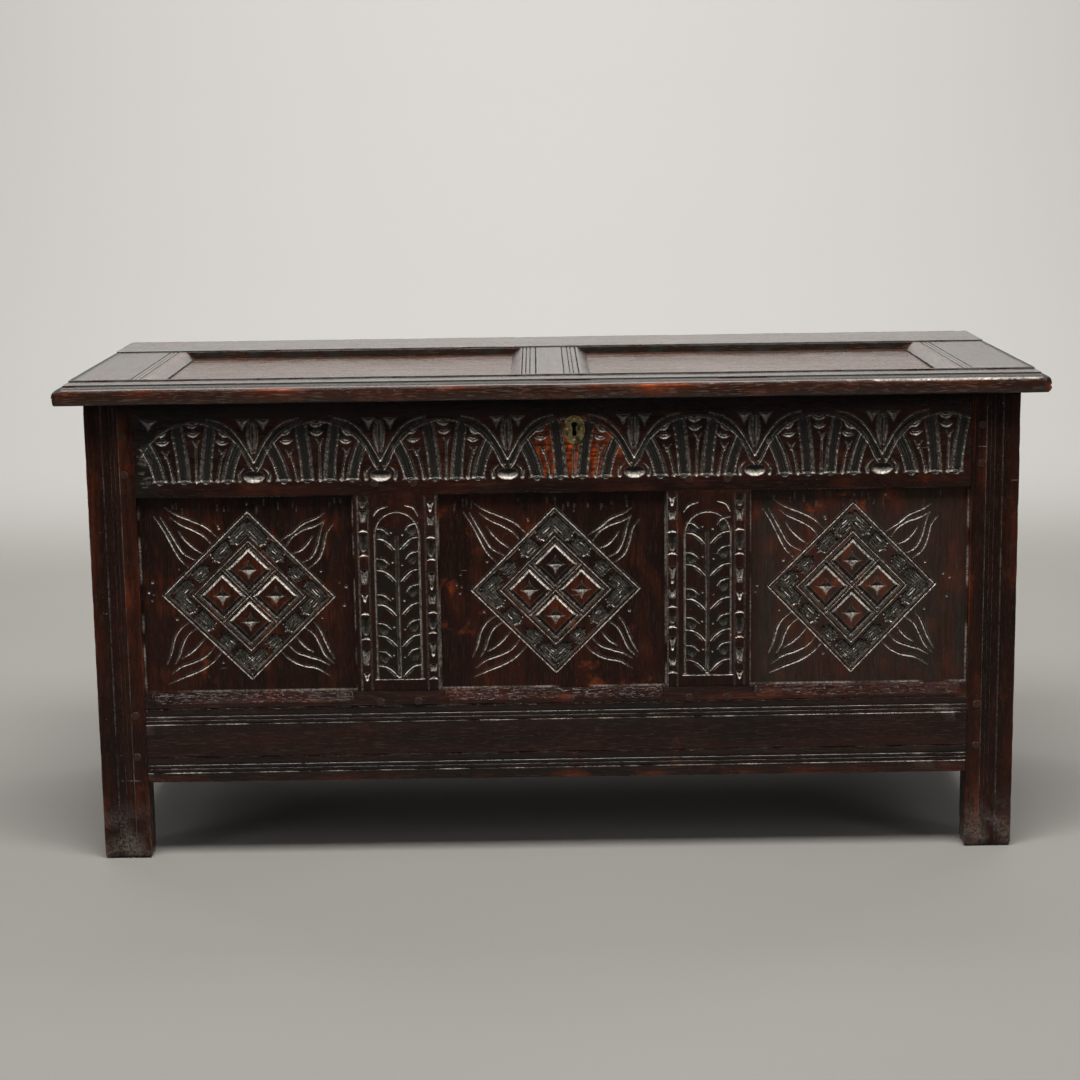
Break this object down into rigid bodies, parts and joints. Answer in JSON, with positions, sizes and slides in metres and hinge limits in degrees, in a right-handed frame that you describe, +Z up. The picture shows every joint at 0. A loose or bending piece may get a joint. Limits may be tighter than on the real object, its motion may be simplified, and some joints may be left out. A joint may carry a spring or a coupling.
{
  "type": "coffer chest",
  "caption": "Joined oak coffer: panelled, carved carcass on four stiles, framed lid on strap hinges, and a chest lock with a keyhole escutcheon.",
  "frame": {"origin": "centre of the footprint, on the floor, under the middle of the lid's outline", "axes": "+X to the right as seen from the front, along the length; +Y from the front to the back; +Z up"},
  "size_m": [1.23, 0.53, 0.612],
  "materials": {
    "carved_oak": "dark waxed and polished",
    "frame_oak": "dark waxed and polished",
    "lid_oak": "dark, worn and polished",
    "board_oak": "dry, unpolished",
    "wrought_iron": "dark forged iron",
    "brass": "dull, aged brass"
  },
  "bodies": {
    "carcass": {"back_bottom_rail": "frame_oak", "back_left_muntin": "frame_oak", "back_left_panel": "frame_oak", "back_left_stile": "frame_oak", "back_middle_panel": "frame_oak", "back_right_muntin": "frame_oak", "back_right_panel": "frame_oak", "back_right_stile": "frame_oak", "back_top_rail": "frame_oak", "escutcheon": "brass", "escutcheon_pins": "brass", "floor_board_1": "board_oak", "floor_board_2": "board_oak", "floor_board_3": "board_oak", "floor_board_4": "board_oak", "floor_board_5": "board_oak", "frame_nails": "wrought_iron", "frame_pegs": "frame_oak", "front_bottom_rail": "frame_oak", "front_left_muntin": "carved_oak", "front_left_panel": "carved_oak", "front_left_stile": "frame_oak", "front_middle_panel": "carved_oak", "front_right_muntin": "carved_oak", "front_right_panel": "carved_oak", "front_right_stile": "frame_oak", "front_top_rail": "carved_oak", "left_hinge_leaf": "wrought_iron", "left_hinge_pin": "wrought_iron", "left_side_back_panel": "frame_oak", "left_side_bottom_rail": "frame_oak", "left_side_front_panel": "frame_oak", "left_side_muntin": "frame_oak", "left_side_top_rail": "frame_oak", "lock_case": "wrought_iron", "lock_cover": "wrought_iron", "lock_spring": "wrought_iron", "right_hinge_leaf": "wrought_iron", "right_hinge_pin": "wrought_iron", "right_side_back_panel": "frame_oak", "right_side_bottom_rail": "frame_oak", "right_side_front_panel": "frame_oak", "right_side_muntin": "frame_oak", "right_side_top_rail": "frame_oak"},
    "lid": {"left_hinge_strap": "wrought_iron", "lid_back_rail": "lid_oak", "lid_front_rail": "lid_oak", "lid_left_panel": "lid_oak", "lid_left_stile": "lid_oak", "lid_muntin": "lid_oak", "lid_nails": "wrought_iron", "lid_pegs": "lid_oak", "lid_right_panel": "lid_oak", "lid_right_stile": "lid_oak", "lock_staple": "wrought_iron", "right_hinge_strap": "wrought_iron"},
    "bolt": {"lock_bolt": "wrought_iron"}
  },
  "joints": [
    {"name": "lid_hinge", "type": "hinge", "parent": "carcass", "child": "lid", "pos_m": [0, 0.246, 0.581], "axis": [-1, 0, 0], "range_deg": [0, 110]},
    {"name": "lock_bolt_slide", "type": "slide", "parent": "carcass", "child": "bolt", "axis": [1, 0, 0], "range_m": [0, 0.012]}
  ]
}
